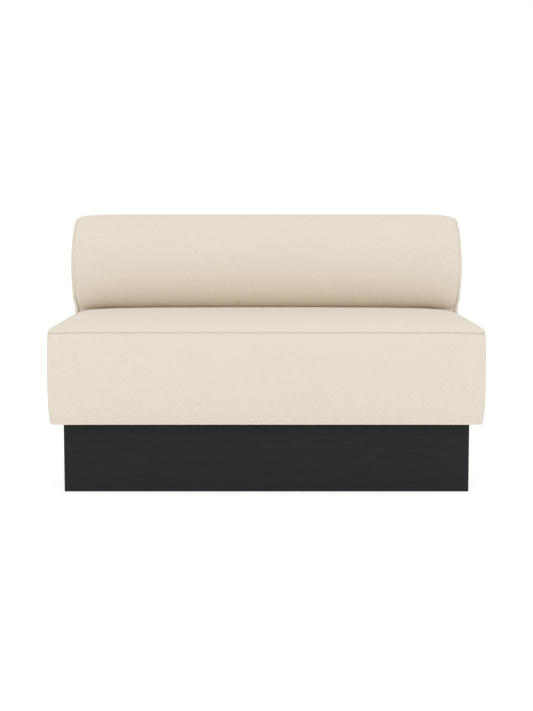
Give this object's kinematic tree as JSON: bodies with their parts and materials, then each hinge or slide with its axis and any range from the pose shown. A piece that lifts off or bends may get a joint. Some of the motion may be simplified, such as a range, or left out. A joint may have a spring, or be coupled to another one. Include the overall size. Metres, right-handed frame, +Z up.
{
  "type": "dining sofa",
  "caption": "Low dining sofa with a deep box seat, a thick horizontal roll back and a recessed dark plinth, upholstered in pale woven fabric, on hidden levelling feet.",
  "frame": {"origin": "on the floor, under the middle of the sofa's width and depth", "axes": "+X to the right seen from the front, +Y to the back, +Z up; the front faces -Y"},
  "size_m": [1.2, 0.6899, 0.766],
  "materials": {
    "cover_fabric": "cream plain weave of thick yarn",
    "upholstery_foam": "cut polyether foam",
    "pressed_felt": "pressed felt",
    "dust_cloth": "black spun cloth",
    "jute_webbing": "woven strap",
    "stained_oak": "black stained oak veneer",
    "plinth_timber": "planed softwood",
    "frame_timber": "planed beech",
    "frame_board": "hardboard",
    "zinc_steel": "zinc plated",
    "foot_plastic": "matt black"
  },
  "bodies": {
    "sofa": {"back_bolt_rails": "frame_timber", "back_bottom_rail": "frame_timber", "back_cover_left_end": "cover_fabric", "back_cover_right_end": "cover_fabric", "back_cover_wrap": "cover_fabric", "back_frame_screws": "zinc_steel", "back_front_board": "frame_board", "back_left_end_pad": "upholstery_foam", "back_neck_foam": "upholstery_foam", "back_rear_board": "frame_board", "back_rear_foam": "upholstery_foam", "back_right_end_pad": "upholstery_foam", "back_roll_foam": "upholstery_foam", "back_top_rail": "frame_timber", "back_uprights": "frame_timber", "bolt_washers": "zinc_steel", "foot_insert_nuts": "zinc_steel", "joining_bolts": "zinc_steel", "plinth_bolts": "zinc_steel", "plinth_corner_blocks": "plinth_timber", "plinth_cross_rails": "plinth_timber", "plinth_front_panel": "stained_oak", "plinth_left_panel": "stained_oak", "plinth_rear_panel": "stained_oak", "plinth_right_panel": "stained_oak", "plinth_screws": "zinc_steel", "plinth_top_cleats": "plinth_timber", "seat_bearers": "frame_timber", "seat_corner_blocks": "frame_timber", "seat_cover_front_band": "cover_fabric", "seat_cover_left_band": "cover_fabric", "seat_cover_rear_band": "cover_fabric", "seat_cover_right_band": "cover_fabric", "seat_cover_top_panel": "cover_fabric", "seat_cross_rails": "frame_timber", "seat_dust_cover": "dust_cloth", "seat_felt_pad": "pressed_felt", "seat_foam_core": "upholstery_foam", "seat_foam_topper": "upholstery_foam", "seat_frame_screws": "zinc_steel", "seat_front_edge_pad": "upholstery_foam", "seat_front_rail": "frame_timber", "seat_left_edge_pad": "upholstery_foam", "seat_left_rail": "frame_timber", "seat_rear_rail": "frame_timber", "seat_right_edge_pad": "upholstery_foam", "seat_right_rail": "frame_timber", "seat_webbing_crosswise": "jute_webbing", "seat_webbing_lengthwise": "jute_webbing", "seat_webbing_staples": "zinc_steel", "tee_nuts": "zinc_steel"},
    "front_left_foot_pad": {"foot_front_left_pad": "foot_plastic"},
    "front_left_foot_stem": {"foot_front_left_stem": "zinc_steel"},
    "front_right_foot_pad": {"foot_front_right_pad": "foot_plastic"},
    "front_right_foot_stem": {"foot_front_right_stem": "zinc_steel"},
    "rear_left_foot_pad": {"foot_rear_left_pad": "foot_plastic"},
    "rear_left_foot_stem": {"foot_rear_left_stem": "zinc_steel"},
    "rear_right_foot_pad": {"foot_rear_right_pad": "foot_plastic"},
    "rear_right_foot_stem": {"foot_rear_right_stem": "zinc_steel"}
  },
  "joints": [
    {"name": "front_left_foot_travel", "type": "slide", "parent": "sofa", "child": "front_left_foot_pad", "axis": [0, 0, -1], "range_m": [0, 0.015]},
    {"name": "front_left_foot_turn", "type": "hinge", "parent": "front_left_foot_pad", "child": "front_left_foot_stem", "pos_m": [-0.525, -0.27, 0.004], "axis": [0, 0, -1], "range_deg": [0, 3600]},
    {"name": "front_right_foot_travel", "type": "slide", "parent": "sofa", "child": "front_right_foot_pad", "axis": [0, 0, -1], "range_m": [0, 0.015]},
    {"name": "front_right_foot_turn", "type": "hinge", "parent": "front_right_foot_pad", "child": "front_right_foot_stem", "pos_m": [0.525, -0.27, 0.004], "axis": [0, 0, -1], "range_deg": [0, 3600]},
    {"name": "rear_left_foot_travel", "type": "slide", "parent": "sofa", "child": "rear_left_foot_pad", "axis": [0, 0, -1], "range_m": [0, 0.015]},
    {"name": "rear_left_foot_turn", "type": "hinge", "parent": "rear_left_foot_pad", "child": "rear_left_foot_stem", "pos_m": [-0.525, 0.27, 0.004], "axis": [0, 0, -1], "range_deg": [0, 3600]},
    {"name": "rear_right_foot_travel", "type": "slide", "parent": "sofa", "child": "rear_right_foot_pad", "axis": [0, 0, -1], "range_m": [0, 0.015]},
    {"name": "rear_right_foot_turn", "type": "hinge", "parent": "rear_right_foot_pad", "child": "rear_right_foot_stem", "pos_m": [0.525, 0.27, 0.004], "axis": [0, 0, -1], "range_deg": [0, 3600]}
  ],
  "couplings": [
    {"joint": "front_left_foot_turn", "follows": "front_left_foot_travel", "rad_per_m": 4188.8},
    {"joint": "front_right_foot_turn", "follows": "front_right_foot_travel", "rad_per_m": 4188.8},
    {"joint": "rear_left_foot_turn", "follows": "rear_left_foot_travel", "rad_per_m": 4188.8},
    {"joint": "rear_right_foot_turn", "follows": "rear_right_foot_travel", "rad_per_m": 4188.8}
  ]
}
